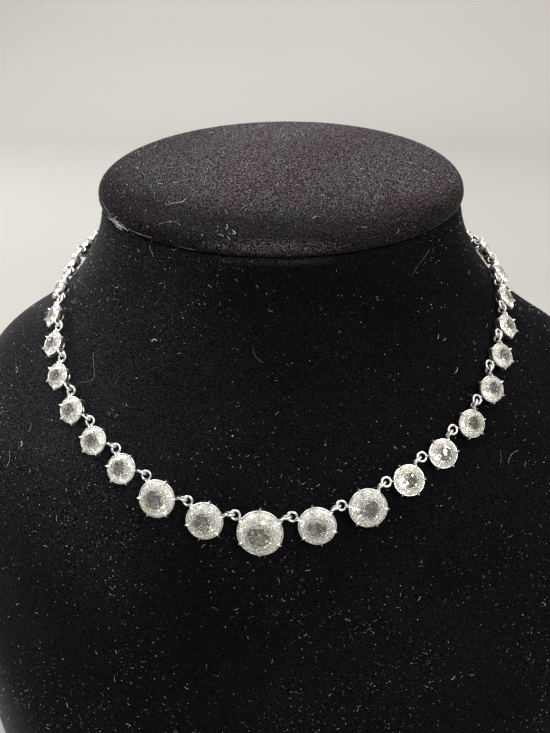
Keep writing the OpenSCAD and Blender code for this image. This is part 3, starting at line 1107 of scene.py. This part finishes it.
@dataclass(frozen=True)
class Hairs:
    """The hairs that lie at places of their own, as one piece."""

    name: str
    thickness: float
    hairs: Sequence[Hair]
    joints: int = 14
    seed: int = 11

    def build(self, finish: Material) -> bpy.types.Object:
        """Builds the hairs.

        Args:
            finish: The lint's finish.

        Returns:
            The piece.
        """
        rng = np.random.default_rng(self.seed)
        work = bmesh.new()
        pale = work.verts.layers.float.new("paleness")
        for hair in self.hairs:
            for line in hair.lines(rng):
                verts = [work.verts.new(point) for point in line]
                for vert in verts:
                    vert[pale] = hair.paleness
                for a, b in zip(verts, verts[1:]):
                    work.edges.new((a, b))
        t = PieceTree(self.name, {"Thickness": self.thickness, "Joints": self.joints, "Finish": finish})
        path = t.add("GeometryNodeMeshToCurve", {0: t["Geometry"]})
        path = t.add("GeometryNodeCurveSplineType", {"Curve": path}, spline_type="CATMULL_ROM")
        path = t.add("GeometryNodeResampleCurve", {"Curve": path, "Count": t["Joints"]})
        t.close(t.sweep(path, t.circle(t.times(t["Thickness"], 0.5), 3), True), t["Finish"])
        return as_piece(self.name, t.grow(made(work, "drawn")))


@dataclass(frozen=True)
class NeckBust:
    """The velvet neck bust: its form, the padded cap on its neck, and the lint on both."""

    form: VelvetForm
    cap: VelvetForm
    lint: Sequence[Lint]
    hairs: Hairs
    lint_finish: FibreFinish = FibreFinish()
    underside: float = -0.7

    def build(self) -> None:
        """Builds the form and the cap, and scatters the lint."""
        work = bmesh.new()
        for part in (self.form, self.cap):
            work.from_mesh(part.build().data)
        hidden = [f for f in work.faces if f.normal.z < self.underside]
        bmesh.ops.delete(work, geom=hidden, context="FACES")
        finish = self.lint_finish.material()
        for kind in self.lint:
            kind.build(made(work, "ground"), finish)
        self.hairs.build(finish)


@dataclass(frozen=True)
class View:
    """The camera, at the photograph's angle. Focal length and frame are in the photograph's pixels."""

    yaw: float = 5.98
    elevation: float = 24.17
    roll: float = -0.8
    distance: float = 296.67 * MM
    target: Colour = (-2.77 * MM, 0.0, 128.51 * MM)
    focal_px: float = 900.0
    near: float = 0.01
    far: float = 20.0

    def build(self) -> None:
        """Places the camera."""
        data = bpy.data.cameras.new("camera")
        data.lens = self.focal_px / max(IMAGE_W, IMAGE_H) * data.sensor_width
        data.clip_start, data.clip_end = self.near, self.far
        camera = placed("camera", data)
        yaw, elevation = math.radians(self.yaw), math.radians(self.elevation)
        back = Vector((math.sin(yaw) * math.cos(elevation), -math.cos(yaw) * math.cos(elevation),
                       math.sin(elevation)))
        right = (-back).cross(Vector((0, 0, 1))).normalized()
        axes = Matrix((right, back.cross(right), back)).transposed().to_4x4()
        roll = Matrix.Rotation(math.radians(self.roll), 4, "Z")
        camera.matrix_world = Matrix.Translation(Vector(self.target) + back * self.distance) @ axes @ roll
        bpy.context.scene.camera = camera


@dataclass(frozen=True)
class Lamp:
    """A soft rectangular light that looks at the bust."""

    name: str
    place: Colour
    size: tuple[float, float]
    power: float
    tint: Colour = (1.0, 1.0, 1.0)

    def build(self, target: Vector) -> None:
        """Places the light.

        Args:
            target: The point that it looks at.
        """
        data = bpy.data.lights.new(self.name, "AREA")
        data.shape = "RECTANGLE"
        data.size, data.size_y = self.size
        data.energy = self.power
        data.color = self.tint
        lamp = placed(self.name, data)
        lamp.location = self.place
        lamp.rotation_euler = (Vector(self.place) - target).to_track_quat("Z", "Y").to_euler()


@dataclass(frozen=True)
class Studio:
    """A pale sweep under and behind the bust, soft lights and a dim surround."""

    lamps: Sequence[Lamp]
    backdrop: PlainFinish
    half_width: float = 1.6
    front: float = -1.6
    back: float = 1.1
    bend: float = 0.45
    bend_points: int = 19
    height: float = 1.6
    surround: Colour = (0.97, 0.985, 1.0)
    surround_power: float = 0.45

    def build(self) -> None:
        """Builds the sweep, the lights and the surround."""
        bend = [(self.back + self.bend * math.sin(a), self.bend * (1 - math.cos(a)))
                for a in np.radians(np.linspace(0, 90, self.bend_points))]
        line = [(self.front, 0.0), *bend, (self.back + self.bend, self.height)]
        work = bmesh.new()
        rows = [[work.verts.new((x, y, z)) for x in (-self.half_width, self.half_width)] for y, z in line]
        for low, high in zip(rows, rows[1:]):
            work.faces.new((low[0], low[1], high[1], high[0]))
        mesh = made(work, "sweep", self.backdrop.material())
        mesh.shade_smooth()
        sweep = placed("sweep", mesh)
        for lamp in self.lamps:
            lamp.build(sum(CAD_BOX, Vector()) / 2)
        world = bpy.data.worlds.new("surround")
        world.use_nodes = True
        shader = world.node_tree.nodes["Background"]
        shader.inputs["Color"].default_value = (*self.surround, 1.0)
        shader.inputs["Strength"].default_value = self.surround_power
        bpy.context.scene.world = world
        bpy.context.scene.view_settings.view_transform = "Standard"


def main() -> None:
    """Builds the view, the bust, the necklace and the studio in turn."""
    logging.basicConfig(level=logging.INFO, format="%(name)s: %(message)s")
    View().build()
    NeckBust(
        form=VelvetForm("bust_form", "velvet_bust", VelvetFinish(
            "black velvet", paleness=0.24, painted_light_patches=[
                # Painted light: the left of the neck, shoulder and upper chest paler, as if lit from the
                # left.
                PaintedLightPatch((-110, 20, 170), (1.0, 0.7, 0.8), 58, 122, 1.0),
                # A patch that makes the front of the neck darker.
                PaintedLightPatch((20, -40, 158), (1.0, 0.6, 1.0), 14, 42, 0.18),
                # Painted highlight: a thin pale line along the rounded top edge of the neck, under the cap.
                PaintedLightPatch((1, -41.6, 178.1), (0.08, 0.6, 1.0), 0.5, 2, 1.0)])),
        cap=VelvetForm("neck_cap", "velvet_cap", VelvetFinish(
            # The cap's pale pile colours are partly its own paler pile and partly painted sheen.
            "stroked velvet", pile=(0.004, 0.0036, 0.004), pale_pile_and_sheen=(0.248, 0.192, 0.212),
            greyer_pile_and_sheen=(0.218, 0.199, 0.204), sheen=0.14, tuft_low=0.47, paleness=0.18, painted_light_patches=[
                # Painted light: the cap's top paler towards the back and darker down its front, as light
                # from above and behind falls on it.
                PaintedLightPatch((4, 20, 200), (0.86, 1.0, 0.1), 50, 58, 0.60),
                PaintedLightPatch((3, 20, 200), (0.86, 1.0, 0.1), 14, 52, 0.95),
                # Painted highlight: a pale band along the cap's lower front edge.
                PaintedLightPatch((2, -43.6, 182), (0.10, 0.6, 1.0), 0.6, 2.6, 1.0)]),
            wave_depth=0.2 * MM, fill=0.9),
        lint=[
            Lint("lint_dust", 8.0, 0.30 * MM, 0.11 * MM, 0.1, 1, seed=21),
            Lint("lint_specks", 8.2, 0.38 * MM, 0.18 * MM, 0.15, 2, seed=3),
            Lint("lint_fibres", 2.0, 1.6 * MM, 0.11 * MM, 0.28, 4, seed=8),
            Lint("lint_hairs", 0.04, 6.0 * MM, 0.08 * MM, 0.3, 12, seed=5, lean=0.03)],
        hairs=Hairs("lint_strays", 0.06 * MM, [
            Hair(0.7, [(-45.5, -27.0, 185.1), (-43.1, -29.1, 183.8), (-40.3, -31.3, 183.1)], 9, 0.60),
            Hair(0.7, [(-44.2, -28.2, 184.4), (-42.8, -29.4, 183.7), (-41.6, -30.4, 183.5)], 12, 0.50),
            Hair(0.25, [(-49.4, -21.9, 188.3), (-46.6, -25.9, 186.4), (-45.6, -27.0, 185.3)], 2, 0.10),
            Hair(0.25, [(-40.3, -31.4, 183.2), (-35.6, -34.6, 182.6), (-32.0, -36.6, 182.3)], 2, 0.14),
            Hair(0.8, [(-30.5, -37.5, 183.0), (-32.8, -34.0, 180.7), (-33.4, -34.4, 178.8),
                       (-32.9, -34.6, 177.8), (-32.5, -34.7, 176.4)]),
            Hair(0.9, [(-29.6, -28.3, 189.9), (-28.9, -29.5, 189.6), (-27.4, -28.8, 189.9),
                       (-25.1, -28.4, 190.2), (-24.0, -27.0, 190.8)]),
            Hair(0.9, [(-11.5, -38.2, 186.8), (-10.9, -39.2, 186.4), (-11.2, -39.9, 186.1)], 2, 0.15),
            Hair(0.9, [(-9.2, -40.7, 185.8), (-8.4, -41.5, 185.4), (-8.7, -41.9, 185.0)], 2, 0.15),
            Hair(0.6, [(-12.5, -41.5, 185.0), (-11.6, -42.0, 184.7)], 3, 0.20),
            Hair(0.3, [(-29.8, -36.8, 186.1), (-26.4, -36.4, 186.9), (-24.5, -37.2, 186.7)]),
            Hair(0.8, [(-26.8, -37.0, 179.4), (-26.0, -37.4, 179.2), (-25.2, -37.3, 179.8)]),
            Hair(0.3, [(-24.4, -39.5, 180.9), (-21.9, -40.1, 180.5), (-19.3, -40.9, 180.4)]),
            Hair(0.4, [(-51.7, -36.8, 147.8), (-51.1, -39.3, 144.8), (-50.7, -41.5, 142.0),
                       (-52.7, -41.7, 140.8), (-54.5, -41.2, 140.5), (-56.2, -41.1, 139.7)]),
            Hair(0.3, [(43.2, -27.8, 177.7), (41.9, -29.1, 175.8), (40.0, -30.6, 173.7),
                       (38.8, -31.7, 171.5)]),
            Hair(0.3, [(64.1, -48.2, 127.1), (64.4, -49.2, 125.8), (64.2, -50.6, 124.4)]),
            Hair(0.6, [(-69.9, -44.6, 128.3), (-69.8, -45.4, 127.5), (-70.2, -46.4, 126.3)]),
            Hair(0.8, [(-42.4, -48.8, 134.6), (-42.5, -49.1, 134.2), (-43.2, -49.2, 133.8)]),
            Hair(0.8, [(-72.5, -47.7, 123.8), (-71.8, -48.4, 123.4), (-72.3, -48.7, 122.8)], 3, 0.15),
            Hair(0.8, [(-33.3, -40.3, 153.5), (-32.4, -40.3, 154.1), (-31.7, -40.6, 153.6)], 4, 0.15),
            Hair(0.7, [(-78.3, -29.6, 139.3), (-77.7, -30.6, 138.8), (-77.9, -31.2, 138.0)], 2, 0.10)]),
    ).build()
    Necklace(SilverFinish(), CrystalFinish()).build()
    Studio(
        lamps=[
            Lamp("overhead", (0.25, 0.15, 1.10), (1.4, 1.0), 11.0, (1.0, 0.98, 0.95)),
            Lamp("window", (-1.10, 0.45, 1.00), (0.7, 0.9), 40.0, (0.95, 0.98, 1.0)),
            Lamp("front", (0.45, -0.95, 0.95), (0.5, 0.4), 12.0, (1.0, 0.96, 0.90))],
        backdrop=PlainFinish("pale paper", (0.488, 0.467, 0.433)),
    ).build()


if __name__ == "__main__":
    main()
